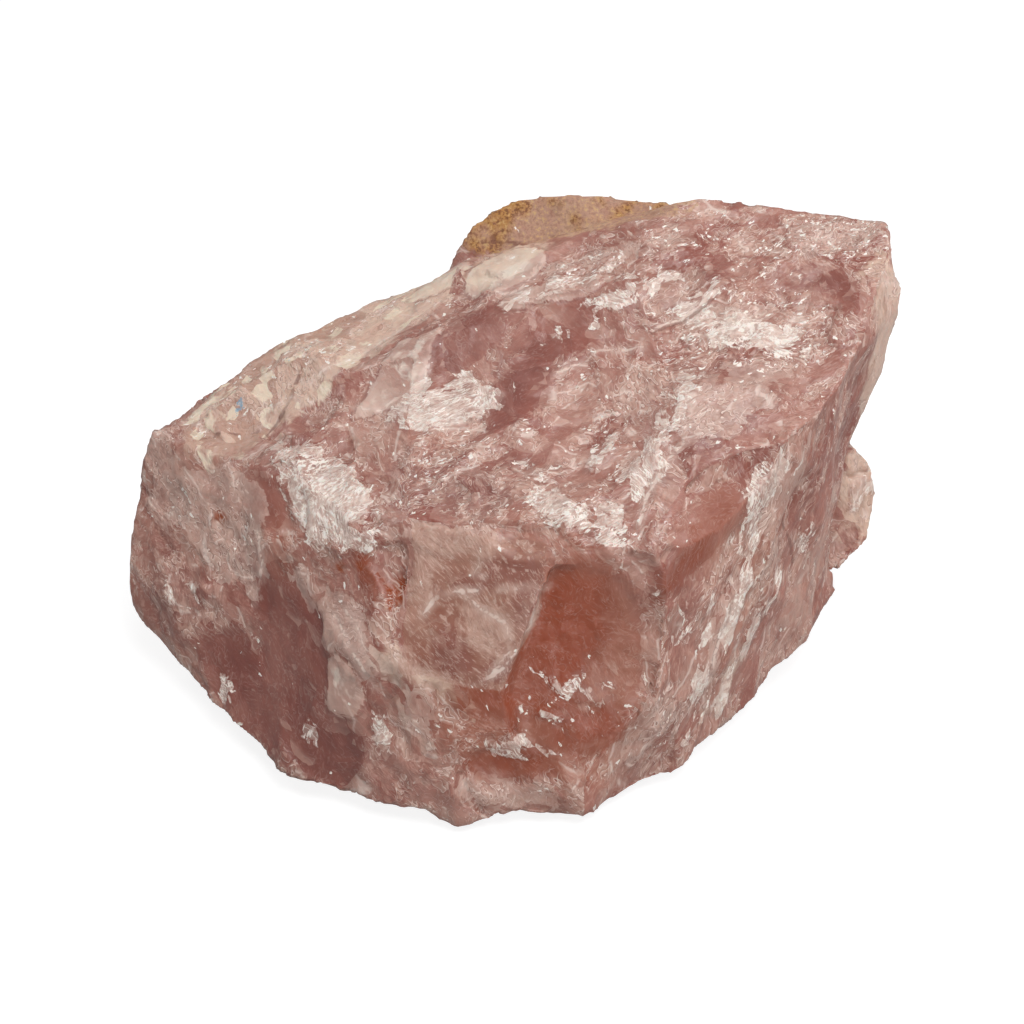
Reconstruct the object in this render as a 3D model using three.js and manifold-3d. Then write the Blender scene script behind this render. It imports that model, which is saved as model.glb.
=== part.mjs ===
// A rough chunk of massive rose quartz, broken out of its vein and lying on its flattest cleft.
// Millimetres, +Z up. The origin is under the middle of the stone, on the surface that it lies on.
//
// The stone is one solid. Its body is the hull of the corners where its large clefts meet. Shallow
// rounded cuts all over make the shell-shaped (conchoidal) scars that quartz breaks with, two wedges
// are cut out of its front, and four smaller hulls add the lumps that stand out of it.
import * as THREE from "three";
import { ConvexGeometry } from "three/addons/geometries/ConvexGeometry.js";
import { MeshSurfaceSampler } from "three/addons/math/MeshSurfaceSampler.js";
import { mergeVertices } from "three/addons/utils/BufferGeometryUtils.js";
import Module from "manifold-3d";

const wasm = await Module();
wasm.setup();

// ---- driving dimensions: the corners of the clefts ----------------------------------------------
// +X is the stone's length, and -Y is the side with the nose and the deep pink hollow.

// The crown, a broad rough cleft that dips towards the nose and the left tip.
const CROWN = {
  leftTip: [-73.5, 18.5, 42.5],
  leftShoulder: [-64, 27.5, 47],
  leftRise: [-47, 36, 55],
  backLeft: [-38, 40, 57.7],
  backSaddle: [-23, 43.5, 61.5],
  ledgeFoot: [-14.5, 49, 65.5],
  backRidge: [-9, 48, 67],
  backMiddle: [9, 48, 72],
  backRight: [33, 52.5, 77],
  summit: [43, 49.5, 80.5],
  rightPeak: [67, 45, 78.7],
  rightTop: [73.5, 43, 77.2],
  rightCorner: [75, 39.5, 76.5],
  rightShoulder: [71, 28, 74],
  rightBrow: [60, 2, 63],
  frontRight: [41, -16, 57.5],
  browDip: [25, -26, 53],
  browLow: [22, -32, 47],
  blockRight: [5, -31, 47],
  blockLeft: [-19, -19, 49.5],
  noseTop: [-28, -16, 48.5],
  ridgeStart: [-41, 3, 51],
  crestLow: [-33, 18, 57],
  crestHigh: [-14, 34, 65.5],
};

// The flanks, from the crown down to the belly, where the stone is widest.
const FLANKS = {
  leftShelf: [-76.8, 12.5, 34],
  leftBulge: [-80, 5.5, 24],
  leftHip: [-79, 0, 12.5],
  leftHeel: [-72, -7, 8],
  leftBelly: [-64, -18, 7],
  frontLeftBelly: [-51.5, -33, 6],
  frontLeftFoot: [-41.5, -41, 5],
  frontBelly: [-28, -46.5, 4],
  noseFoot: [-18, -48, 4],
  noseRidge: [-23, -35, 32],
  noseKnee: [-14, -45, 17],
  frontFoot: [2, -47, 2.5],
  frontToe: [15.5, -47.5, 2.5],
  frontRightFoot: [28, -40, 3],
  rightEdgeFoot: [32.5, -31.5, 4],
  rightEdgeMiddle: [32, -32.5, 20],
  rightEdgeTop: [22, -36, 41],
  rightFlankLow: [57, -9.5, 9],
  rightFlankHigh: [67, 13, 46],
  rightSide: [71.5, 20.5, 54],
  rightRim: [76, 30, 68.5],
  backRightLow: [64, 42, 15],
  backRightHigh: [68, 50, 56],
  backBulge: [18, 61, 38],
  backLow: [-8, 56, 14],
  backLeftHigh: [-40, 50, 40],
  backLeftLow: [-56, 38, 14],
  leftBack: [-77, 22, 22],
};

// The cleft that the stone lies on. Its corners are all at the surface.
const UNDERSIDE = [
  [-46, 3],
  [-36, -17],
  [-17, -34],
  [2, -39],
  [16, -37],
  [28, -23],
  [42, -4],
  [44, 22],
  [27, 38],
  [-6, 39],
  [-35, 25],
].map(([x, y]) => [x, y, 0]);

// Lumps that stand out of the body, each a small hull that reaches well inside it.
const STAINED_LEDGE = [
  [-14.5, 48.5, 63.5],
  [-11, 50.5, 68],
  [-9, 53.5, 71.5],
  [-5, 55, 75.5],
  [0, 56.5, 77],
  [18, 56.5, 77],
  [36, 54, 76.5],
  [37, 40, 66],
  [-8, 42, 58],
  [-8, 55, 55],
  [34, 56, 50],
  [15, 30, 50],
];
const RIGHT_BULGE = [
  [70, 22, 37],
  [73, 21.5, 33],
  [75, 20, 26],
  [73.9, 16.5, 22],
  [72.6, 13.6, 19],
  [70.5, 12.1, 17],
  [66.6, 9, 14],
  [64, 40, 18],
  [66, 42, 30],
  [45, 20, 8],
  [45, 20, 40],
];
const NOSE_TOE = [
  [-20, -46, 4],
  [-11, -50, 1.2],
  [-4.5, -48.5, 2],
  [-12, -48, 11],
  [-22, -34, 18],
  [2, -34, 16],
  [-18, -32, 0.5],
  [0, -32, 0.5],
];
const RIGHT_SLAB = [
  [33, -31.5, 3],
  [44.5, -23, 4.5],
  [53, -12.5, 7],
  [59.5, -6, 8.8],
  [62.8, 0.5, 10],
  [65.5, 6, 11.8],
  [65.2, 9, 40],
  [57.5, -2, 42],
  [39, -18.5, 45],
  [33.5, -29, 27],
  [30, -10, 2],
  [45, 6, 2],
];

// Each lump with the spacing of the small scars on it.
const LUMPS = [
  [STAINED_LEDGE, 9],
  [RIGHT_BULGE, 8],
  [NOSE_TOE, 6],
  [RIGHT_SLAB, 12],
];

// Wedges cut out of the front. Each is the hull of its floor and of the same corners moved forward.
// The hollow's left wall is the right side of the clear block, and the crevice lies along its left.
const HOLLOW_FLOOR = [
  [5.5, -28, 46.5],
  [-2, -39.5, 26],
  [1, -45.5, 11],
  [13, -46, 10],
  [23, -40, 24],
  [25, -31.5, 49],
];
const CREVICE_FLOOR = [
  [-29, -20, 44.5],
  [-21.3, -19.5, 45],
  [-21.8, -26.5, 37],
  [-22.8, -33, 33],
  [-26, -27.5, 39.5],
];
// How far each wedge runs forward and up out of the stone.
const WEDGE_FORWARD = 20;
const WEDGE_UP = 15;

// The scars that give the stone its own look: [where, facing, length, width, depth].
const LARGE_SCARS = [
  // the floor of the deep pink hollow
  [[12, -38, 28], [0.2, -0.85, 0.45], 36, 24, 2.2],
  // the shallow hollow under the clear block
  [[-3, -46, 14], [0, -0.95, 0.3], 20, 22, 2.4],
  // the dip in the brow where the crown turns down to the right flank
  [[33, -22, 54], [0.45, -0.55, 0.7], 24, 30, 3],
  // the notch over the right bulge
  [[72.5, 19, 45], [0.95, -0.2, 0.2], 18, 24, 2.2],
  // the saddle in the back edge of the crown
  [[-24, 42.5, 62], [-0.3, 0.6, 0.75], 18, 16, 0.8],
  // the hollow in the left front face, under the white ridge
  [[-47, -14, 34], [-0.6, -0.7, 0.45], 44, 34, 1.5],
];

// The small scars' sizes, each the lowest and the highest: widths as a part of the spacing from one
// scar to the next, lengths and depths as a part of the width.
const SCAR_WIDTHS = [1.1, 1.9];
const SCAR_LENGTHS = [1, 1.9];
const SCAR_DEPTHS = [0.035, 0.06];
// How far a small scar may lean from the cleft that it is in, and the lowest place for one.
const SCAR_LEAN = 0.13;
const LOWEST_SCAR = 6;
const BODY_SCAR_SPACING = 15;
const BODY_SEED = 7;
const FIRST_LUMP_SEED = 20;

// Length of a ball's triangle sides where it cuts the stone.
const SCAR_MESH = 5.5;

// ---- solids ---------------------------------------------------------------------------------------

const MERGE_DISTANCE = 1e-4;
const vector = (corner) => new THREE.Vector3(...corner);

// A closed three.js geometry as a solid that can be joined and cut.
function solidOf(geometry) {
  const bare = geometry.clone();
  bare.deleteAttribute("normal");
  bare.deleteAttribute("uv");
  const merged = mergeVertices(bare, MERGE_DISTANCE);
  return new wasm.Manifold(
    new wasm.Mesh({
      numProp: 3,
      vertProperties: new Float32Array(merged.attributes.position.array),
      triVerts: new Uint32Array(merged.index.array),
    }),
  );
}

// A solid as a three.js geometry.
function geometryOf(solid) {
  const mesh = solid.getMesh();
  const geometry = new THREE.BufferGeometry();
  geometry.setAttribute("position", new THREE.BufferAttribute(mesh.vertProperties, 3));
  geometry.setIndex(new THREE.BufferAttribute(mesh.triVerts, 1));
  return geometry;
}

function hullOf(corners) {
  return solidOf(new ConvexGeometry(corners.map(vector)));
}

// The wedge whose floor has those corners, open to the front.
function wedgeOf(floor) {
  const front = floor.map(([x, y, z]) => [x, y - WEDGE_FORWARD, z + WEDGE_UP]);
  return hullOf([...floor, ...front]);
}

// Everything above the surface that the stone lies on, so that its cleft there is one flat face.
function aboveSurface() {
  const size = 400;
  const block = new THREE.BoxGeometry(size, size, size);
  return solidOf(block.translate(0, 0, size / 2));
}

// ---- scars ----------------------------------------------------------------------------------------

// A ball whose cap is a scar of that length, width and depth, sunk at a point that faces along a
// direction. Its length runs down the slope.
function scar(point, facing, length, width, depth) {
  const radius = (width * width) / (8 * depth) + depth / 2;
  const ball = new THREE.IcosahedronGeometry(radius, Math.round(radius / SCAR_MESH));
  ball.scale(length / width, 1, 1);
  const across = new THREE.Vector3(0, 0, 1).cross(facing).normalize();
  const downhill = across.clone().cross(facing);
  const centre = point.clone().addScaledVector(facing, radius - depth);
  const placed = new THREE.Matrix4().makeBasis(downhill, across, facing);
  return solidOf(ball.applyMatrix4(placed.setPosition(centre)));
}

// A repeatable row of numbers from 0 to 1.
function randomRow(seed) {
  let state = seed;
  return () => {
    state = (Math.imul(state, 1664525) + 1013904223) >>> 0;
    return state / 2 ** 32;
  };
}

// The hull of those corners, with small scars all over it, no two of them nearer to each other than
// the spacing. A hull is scarred before it is joined to another, so that no scar cuts into the other.
function scarredHull(corners, spacing, seed) {
  const random = randomRow(seed);
  const between = ([low, high]) => low + (high - low) * random();
  const either = [-1, 1];
  const tries = 1500;
  const body = hullOf(corners);
  const skin = new THREE.Mesh(geometryOf(body).toNonIndexed());
  const sampler = new MeshSurfaceSampler(skin).setRandomGenerator(random).build();
  const places = [];
  let stone = body;
  for (let i = 0; i < tries; i += 1) {
    const place = new THREE.Vector3();
    const facing = new THREE.Vector3();
    sampler.sample(place, facing);
    const crowded = places.some((other) => other.distanceTo(place) < spacing);
    if (crowded || place.z < LOWEST_SCAR) continue;
    places.push(place);
    const width = spacing * between(SCAR_WIDTHS);
    const length = width * between(SCAR_LENGTHS);
    const depth = width * between(SCAR_DEPTHS);
    const lean = new THREE.Vector3(between(either), between(either), between(either));
    facing.addScaledVector(lean, SCAR_LEAN).normalize();
    stone = stone.subtract(scar(place, facing, length, width, depth));
  }
  return stone;
}

// ---- the stone --------------------------------------------------------------------------------------

function stoneSolid() {
  const corners = [...Object.values(CROWN), ...Object.values(FLANKS), ...UNDERSIDE];
  let stone = scarredHull(corners, BODY_SCAR_SPACING, BODY_SEED);
  for (const [where, facing, length, width, depth] of LARGE_SCARS) {
    stone = stone.subtract(scar(vector(where), vector(facing).normalize(), length, width, depth));
  }
  stone = stone.subtract(wedgeOf(HOLLOW_FLOOR)).subtract(wedgeOf(CREVICE_FLOOR));
  for (const [index, [lump, spacing]] of LUMPS.entries()) {
    stone = stone.add(scarredHull(lump, spacing, FIRST_LUMP_SEED + index));
  }
  // a cut may free a splinter, which isn't part of the stone
  const pieces = stone.intersect(aboveSurface()).decompose();
  return pieces.sort((a, b) => b.volume() - a.volume())[0];
}

// The stone's geometry, moved so that its box stands on the origin.
function stoneGeometry() {
  const geometry = geometryOf(stoneSolid());
  geometry.computeBoundingBox();
  const middle = geometry.boundingBox.getCenter(new THREE.Vector3());
  return geometry.translate(-middle.x, -middle.y, -geometry.boundingBox.min.z);
}

const roseQuartz = new THREE.MeshStandardMaterial({
  name: "rose_quartz",
  color: new THREE.Color(0.46, 0.27, 0.23),
  roughness: 0.35,
  metalness: 0,
  flatShading: true,
});

const stone = new THREE.Mesh(stoneGeometry(), roseQuartz);
stone.name = "rose_quartz_chunk";

const chunk = new THREE.Group();
chunk.add(stone);

export default chunk;
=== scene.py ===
"""A rough chunk of rose quartz on a pale studio table.

The chunk is one piece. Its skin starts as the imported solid, is remeshed fine enough to carve, and
is then broken up in code: ledges, flakes and hackles are moved out or in along the surface, and
the same fields are left on the mesh as attributes, so that the colours follow the carving.
"""
import itertools
import math

import bmesh
import bpy
import numpy as np
from mathutils import Matrix, Vector, noise


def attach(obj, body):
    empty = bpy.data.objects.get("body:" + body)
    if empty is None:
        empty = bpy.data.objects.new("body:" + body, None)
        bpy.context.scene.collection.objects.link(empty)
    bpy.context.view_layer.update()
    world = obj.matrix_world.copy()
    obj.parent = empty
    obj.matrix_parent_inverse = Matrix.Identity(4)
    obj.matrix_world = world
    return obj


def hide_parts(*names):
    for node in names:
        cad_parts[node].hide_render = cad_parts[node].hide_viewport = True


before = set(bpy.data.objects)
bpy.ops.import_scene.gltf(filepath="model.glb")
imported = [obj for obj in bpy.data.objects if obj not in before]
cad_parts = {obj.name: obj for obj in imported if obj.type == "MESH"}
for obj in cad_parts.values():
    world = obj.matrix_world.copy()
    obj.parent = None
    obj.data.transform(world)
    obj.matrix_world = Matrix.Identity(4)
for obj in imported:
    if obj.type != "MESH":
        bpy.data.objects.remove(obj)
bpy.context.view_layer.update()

MM = 0.001
NODE = "rose_quartz_chunk"

# ---- the stone's grain ------------------------------------------------------------------------------
# The way the fractures run on each side of the stone.
CROWN_GRAIN = (0.88, 0.38, 0.28)
LEFT_GRAIN = (0.52, -0.74, -0.42)
UPRIGHT_GRAIN = (0.28, 0.45, 0.85)
CROWN_STRETCH = 1.5
LEFT_STRETCH = 1.9
UPRIGHT_STRETCH = 2.4

# ---- patches ----------------------------------------------------------------------------------------
# Each patch is a long blob that the surface cuts through: where its middle is, which way it runs,
# and half its length and half its width, all in millimetres. A patch with straight borders also
# has planes that cut it off: a point on each, and the way in from there.

# Thin flakes that are full of tiny cracks, so they look white.
WHITE_FLAKES = [
    ((-34, -13, 46), (0.6, -0.76, -0.2), 15, 7),       # the fibrous ridge at the top of the nose
    ((-11, 3, 57), (0.95, 0.2, 0.25), 10, 6),          # the scalloped flake on the crown
    ((48, 10, 68), (0.97, -0.2, 0.0), 13, 5, [((48, 7.5, 67), (0.15, 1, 0.1))]),         # the bright band on the right of the crown
    ((35, 17, 70), (0.8, 0.55, 0.2), 8, 0.8),
    ((18, -12, 56.5), (0.6, 0.75, 0.2), 6, 1.6),
    ((27, -14, 58.5), (0.1, 0.95, 0.2), 5, 1.2),
    ((12, -26, 53), (0.8, -0.58, -0.1), 8, 2.6),       # the brow over the hollow
    ((21, -30, 50), (0.5, -0.6, -0.6), 6, 2.4),
    ((7, -16, 55), (0.9, -0.4, 0.1), 2.5, 1.3),
    ((28, -13, 59), (0.45, 0.85, 0.3), 12, 2.4),       # a streak down to the brow
    ((23, 22, 69), (0.88, 0.38, 0.28), 10, 2.4),
    ((10, 27, 69), (0.95, 0.2, 0.2), 8, 2.2),
    ((47, -19, 50), (0.3, 0.5, 0.8), 7, 2.4),            # the steep streaks on the right flank
    ((43.5, -26, 33), (0.3, 0.5, 0.8), 6, 1.7),
    ((52, -18, 28), (0.3, 0.5, 0.8), 3, 1.2),
    ((33, -33, 38), (0.3, 0.5, 0.8), 2.6, 1.3),
    ((59, -9, 36), (0.3, 0.5, 0.8), 3.4, 1.5),
    ((53, -14, 56), (0.3, 0.5, 0.8), 2.8, 1.4),
    ((48, -23, 25), (0.3, 0.5, 0.8), 6, 1.4),
    ((42, -31, 15), (0.35, 0.5, 0.8), 7, 3),
    ((36, -35, 20), (0.2, 0.3, 0.93), 8, 1.4),
    ((33, -33, 35), (0.3, 0.4, 0.87), 4, 1.2),
    ((56, -8, 47), (0.3, 0.5, 0.8), 5, 0.8),
    ((13, -43, 25), (0.9, 0.0, -0.4), 6, 1.7),         # flakes left in the hollow
    ((1, -49, 16), (0.95, 0.0, -0.2), 5, 2.2),
    ((8, -46, 21), (0.9, 0.0, -0.3), 3, 1.1),
    ((-23, -46, 18), (0.6, -0.5, -0.6), 2.6, 1.8),     # loose flakes on the left front
    ((-54, -29, 10), (0.4, -0.6, -0.7), 2.4, 1.2),
    ((-68, -12, 21), (0.4, -0.6, -0.7), 2, 1.2),
    ((-23, -45, 18), (0.8, -0.5, -0.1), 2.4, 1.6),
    ((-36, -43, 10), (0.2, -0.4, -0.9), 2, 1.2),
    ((-59, -14, 23), (0.5, -0.7, -0.4), 2, 1.6),
    ((75, 14, 30), (0.2, 0.2, 0.95), 7, 0.9),         # the rim of the right bulge
]

# The layered sheet on the left front, cut off along its right side and its foot.
LEFT_SHEET = [((-46.8, -13, 37), (-0.81, 0.48, -0.33)), ((-57, -12, 27.5), (0.43, 0.2, 0.88))]

# Thin flakes that are still half clear.
PALE_FLAKES = [
    ((-58, -5, 35), (0.75, -0.6, 0.1), 18, 11, LEFT_SHEET),
    ((-52, -14, 30), (0.2, -0.5, -0.85), 12, 7, LEFT_SHEET),
    ((-70, 9, 41), (0.6, -0.3, -0.7), 6, 5),
    ((-31, -31.5, 31.5), (0.61, -0.73, -0.31), 14, 4),    # the veil beside the nose
    ((-15, -45, 20), (0.3, -0.3, -0.9), 11, 4.5),      # low on the nose
    ((1, -52, 7), (0.98, -0.1, -0.1), 11, 3.4),
    ((-6, -29, 47), (1.0, -0.3, 0.0), 14, 2.6),        # along the top of the clear block
    ((27, -43, 15), (0.4, 0.3, 0.85), 10, 4),
    ((39, -29, 28), (0.3, 0.5, 0.8), 16, 3),
    ((51, -15, 48), (0.3, 0.5, 0.8), 11, 3.4),
    ((42, -4, 62), (0.7, 0.6, 0.3), 15, 6),
    ((64, 33, 77), (0.95, 0.2, 0.0), 13, 4.5),
    ((74, 18, 60), (0.15, 0.3, 0.94), 20, 4),
    ((44, 15, 69), (0.95, 0.1, 0.1), 9, 3),
    ((20, 33, 71), (0.97, 0.1, 0.2), 14, 2.4),
]

# Smooth pale plates with crisp borders, raised a little over the quartz round them.
PLATES = [
    ((-20.5, 12.5, 58), (0.4, 0.85, 0.35), 14, 9,
     [((-15, 14, 60), (-0.95, 0.32, 0)), ((-25.5, 12, 57), (0.89, -0.45, 0)),
      ((-22, 4.5, 55), (-0.1, 1, 0)), ((-18, 20.5, 60), (0.1, -1, 0))]),
    ((0, 34, 68), (0.9, 0.4, 0.2), 9, 6,               # beside the stained ledge
     [((0, 27.5, 67), (-0.1, 1, 0)), ((6, 30, 70), (-0.9, 0.4, 0))]),
    ((10, 26, 68), (0.97, 0.1, 0.2), 11, 3.2, [((10, 23.4, 67), (0, 1, 0.1))]),
    ((-13, 37, 64), (0.9, 0.3, 0.2), 7, 3),
    ((-30.5, -40, 22.5), (0.6, -0.5, -0.6), 6, 4.4, [((-33.5, -38.5, 22), (0.7, -0.5, 0.4))]),  # on the left front
]

# Where the stone is crushed into small flakes, with painted glints.
BROKEN = [
    ((48, 12, 68), (0.9, 0.3, 0.1), 20, 10),
    ((28, 2, 60), (0.6, 0.7, 0.3), 18, 7),
    ((64, 32, 76), (0.9, 0.3, 0.0), 16, 8),
    ((24, 34, 71), (0.95, 0.2, 0.2), 16, 4),
    ((14, -25, 52), (0.9, -0.4, 0.0), 13, 5),
    ((-14, -12, 54), (0.8, 0.5, 0.3), 14, 5),
    ((-33, -14, 47), (0.6, -0.76, -0.2), 16, 8),
    ((46, -20, 47), (0.3, 0.5, 0.8), 10, 4),
    ((47, -23, 30), (0.3, 0.5, 0.8), 16, 4),
    ((-62, -4, 34), (0.75, -0.6, 0.1), 16, 6),
    ((28, -42, 16), (0.3, 0.3, 0.9), 12, 6),
    ((-48, 18, 52), (0.87, 0.4, 0.3), 20, 7),
    ((10, -44, 22), (0.8, 0.0, -0.6), 8, 3),
]

# Clean glassy cleavages, with no flakes on them.
CLEAR_FACES = [
    ((60, 22, 73), (0.9, -0.3, 0.0), 8, 5),
    ((10, 17, 65), (0.9, 0.3, 0.2), 10, 6),
    ((-8, 17, 62), (0.8, 0.5, 0.3), 11, 5),
    ((2, 4, 58), (0.4, 0.85, 0.3), 9, 5),
    ((45, 1, 65), (0.97, -0.2, 0.0), 7, 2.2),
    ((35, -27, 48), (0.6, 0.7, 0.3), 13, 5),
    ((-46, -9, 42), (0.5, -0.6, -0.6), 6, 4.5),
    ((12, -40, 30), (-0.1, -0.5, -0.85), 20, 13),
    ((-38, -34, 19), (0.35, -0.72, -0.6), 22, 9),
    ((-50, -29, 12), (0.6, -0.7, -0.3), 16, 7),
    ((16, 48, 73), (1.0, 0.0, 0.05), 26, 8),
]

# The clear quartz that shows the deep orange pink inside the stone.
DEEP_PINK = [
    ((10, -38, 34), (-0.3, -0.35, -0.89), 17, 9),
    ((2, -45, 24), (0.95, -0.1, -0.2), 12, 5),
    ((1, -49, 13), (0.95, -0.1, 0.1), 9, 4),
    ((14, -46, 18), (0.95, 0.1, 0.1), 10, 4.5),
    ((-25, -28.5, 40), (0.5, -0.5, -0.7), 5, 2.4),     # the dim end of the crevice
    ((34, -28, 46), (0.6, 0.7, 0.3), 9, 3),
    ((70, 8, 26), (0.3, 0.5, 0.8), 3, 2),
]

# Small windows into orange quartz: the crevice, and the pits in the sheet and beside the nose.
EMBERS = [
    ((-19.6, -32.5, 36), (0.15, -0.6, -0.8), 5.4, 2.2),
    ((-57, -6.5, 37), (0.5, -0.7, -0.4), 1.9, 1.5),
    ((-31, -25, 39.5), (0.5, -0.7, -0.4), 1.4, 1.2),
    ((-27.5, -27, 41), (0.5, -0.7, -0.4), 1.3, 1.1),
]

# Where the pink turns to peach.
WARM = [
    ((6, -42, 28), (0.0, -0.6, -0.8), 28, 24),
    ((-43, -16, 38), (0.3, -0.5, -0.8), 5, 3),
    ((36, -24, 46), (0.6, 0.7, 0.3), 14, 7),
    ((47, -21, 36), (0.3, 0.5, 0.8), 24, 7),
]

# The darker mauve of the thick quartz, partly painted shade: low on the left front, and under the bright band on the
# crown.
MAUVE = [
    ((-38, -34, 19), (0.35, -0.72, -0.6), 26, 13),
    ((-60, -15, 18), (0.6, -0.7, -0.3), 16, 10),
    ((-46, -32, 12), (0.6, -0.7, -0.3), 24, 11),
    ((-7, -17, 53), (0.97, -0.2, 0.0), 14, 6),
    ((0, 4, 59), (0.5, 0.8, 0.3), 12, 5),
    ((-7, 18, 63), (0.8, 0.5, 0.3), 12, 5),
    ((45, 1, 65), (0.97, -0.2, 0.0), 8, 2.6),
    ((60, 22, 73), (0.9, -0.3, 0.0), 9, 4),
    ((33, 20, 70), (0.9, 0.3, 0.2), 11, 4.5),
    ((38, -13, 60), (0.75, 0.6, 0.3), 13, 2.6),
    ((46, 5, 66), (0.97, -0.2, 0.0), 8, 2.4),
    ((52, -12, 38), (0.3, 0.5, 0.8), 20, 3),
    ((60, 4, 40), (0.3, 0.5, 0.8), 24, 5),
    ((-49, 20, 51), (0.7, 0.5, 0.3), 7, 2),
]

# Warm cream quartz behind the crease along the left shoulder.
SHOULDER_CREASE = [((-32, 15.5, 56), (-0.57, 0.82, 0.0))]
SHOULDER = [((-38, 22, 55), (0.8, 0.5, 0.33), 34, 12, SHOULDER_CREASE)]
CREAM = SHOULDER + [
    ((0, 37, 68), (0.9, 0.4, 0.15), 10, 5.5),
    ((74.5, 20, 62), (0.2, 0.3, 0.93), 22, 7.5),
    ((75, 14, 30), (0.2, 0.2, 0.95), 15, 6.5),
    ((42, -31, 15), (0.35, 0.5, 0.8), 9, 4),
    ((-14, -43, 28), (0.8, -0.3, -0.4), 9, 3),
    ((-21, -40, 30), (0.25, -0.5, -0.83), 13, 2.6),
]

# Iron stain on the ledge at the back, and round the weathered back of the stone.
LEDGE_FOOT = [((14, 41.5, 70), (-0.06, 0.97, 0.2))]
RUST = [
    ((15, 50, 73), (1.0, 0.0, 0.1), 30, 12, LEDGE_FOOT),
]
WEATHERED = [
    ((0, 62, 45), (1.0, 0.1, 0.1), 44, 18),
    ((-55, 34, 30), (0.8, 0.5, 0.2), 24, 12),
    ((45, 52, 30), (0.7, -0.5, -0.4), 24, 14),
    ((0, 10, 0), (1.0, 0.1, 0.0), 60, 20),
]

# The clear block beside the hollow, with pale veils inside it.
BLOCK_SIDES = [
    ((6.5, 0, 42), (-0.99, 0, 0.11)),
    ((6, 0, 38), (-0.86, 0, 0.5)),
    ((-6, 0, 27.5), (0.1, 0, 1)),
    ((-18, 0, 40), (1, 0, -0.12)),
    ((-6, 0, 49.4), (0.05, 0, -1)),
]
VEILED_BLOCK = [((-6, -37, 37), (0.1, -0.4, -0.9), 26, 22, BLOCK_SIDES)]

# Darker rose in the depth of the block, and the paler clouds and strips between.
ROSE_CORES = [
    ((-10, -41.5, 32), (0.2, -0.75, -0.65), 4.8, 4.2),
    ((1.5, -34.5, 46.5), (0.95, -0.2, -0.2), 6.5, 3),
    ((-6, -34, 43), (1.0, 0.0, 0.0), 6, 1.8),
    ((4, -38, 42), (-0.1, -0.7, -0.7), 5, 2.6),
    ((-1, -44, 31), (0.9, 0.1, 0.3), 3, 2),
]
PALE_CLOUDS = [
    ((-3.5, -40.5, 37), (0.5, -0.6, -0.6), 5.5, 4),
    ((-15.5, -30, 43), (0.0, -0.7, -0.7), 9, 3),
    ((-12, -27, 48), (0.97, -0.25, 0.0), 14, 2.6),
    ((-15, -43.5, 28.5), (0.9, -0.2, -0.3), 9, 2.8),
]

# Thin pale cracks, and crisp rims with painted highlights, each a line through the points given.
BRIGHT_LINES = [
    [(-15, -36, 37), (-13, -34, 40), (-9, -34, 41), (-5, -37, 40), (0, -40, 39), (1, -42, 36)],
    [(-12, -34, 40.5), (-5, -35, 42)],
    [(-1, -36, 43), (8, -35, 43)],
    [(6, -37, 43), (5, -39, 37), (3, -42, 35), (0, -44, 31), (-6, -45, 28)],
    [(1, -42, 34), (-2, -44, 30)],
    [(-5, -32, 46), (-6, -33, 45), (-4, -33.5, 44)],
    [(-32, -30, 32), (-29, -35, 30), (-26, -39, 28), (-24, -42, 24)],
    [(-30, -31, 34), (-26, -36, 32), (-23, -41, 28)],
    [(29, 14, 68), (36, 17, 70), (41, 21, 71)],
    [(10, 7, 62), (18, 11, 64), (26, 10, 66)],
    [(-20, 3, 56), (-14, -3, 55), (-7, -1, 56), (-1, 4, 58.5)],
    [(-29, 6, 54), (-24, 4, 54), (-16, 9.5, 59), (-14, 20, 62)],
    [(-48, -12, 38), (-47, -16, 34), (-49, -20, 26)],
    [(-9, 31, 65.5), (-4, 27.5, 67), (2, 27, 67), (6, 31, 69)],
    [(46, -20, 47), (50, -12, 54)],
    [(24, -29, 52.5), (26, -23, 55), (29, -18, 57.5), (34, -12.5, 60)],
    [(72, 15, 37), (74, 12, 30), (72, 10, 25)],
    [(37, -34, 12), (38, -32, 24), (43, -25, 34)],
    [(-40, 15, 54), (-31, 20, 57), (-22, 26, 60)],
]
# Painted shade in creases and at the foot of steps and ledges, each a line through the points given.
PAINTED_SHADE_LINES = [
    [(-48, 5, 47), (-46, 8, 49), (-44, 12, 50), (-41, 20, 54)],
    [(28, 12.5, 67.5), (35, 15.5, 69.5), (41, 19.5, 70.5)],
    [(-61, 9, 45), (-56, 9, 46), (-50, 8, 47.5)],
    [(-5, 44, 69), (5, 43, 69.5), (17, 43, 71)],
    [(-1, 52, 75), (0.5, 48, 73), (0, 44, 70)],
    [(38, -36, 8), (37, -33, 22), (42, -26, 34)],
    [(56, -12, 30), (52, -15, 45)],
    [(-31, -25, 39.5), (-27, -27, 41), (-23, -29, 42)],
]

# The orange end of the stained ledge, and a fleck of blue dirt on the shoulder.
ORANGE_STAIN = [
    ((-4, 49, 71), (0.8, 0.3, 0.5), 10, 7),
    ((8, 52, 76), (1.0, 0.0, 0.1), 5, 2.5),
    ((24, 48, 75), (1.0, 0.0, 0.2), 7, 3),
]
BLUE_FLECK = [((-54, 15, 48), (0.3, 0.8, 0.5), 1.7, 0.7)]


# ---- fields -----------------------------------------------------------------------------------------

def unit(direction):
    return np.array(direction, dtype=float) / np.linalg.norm(direction)


def smooth_step(low, high, values):
    part = np.clip((values - low) / (high - low), 0, 1)
    return part * part * (3 - 2 * part)


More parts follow.
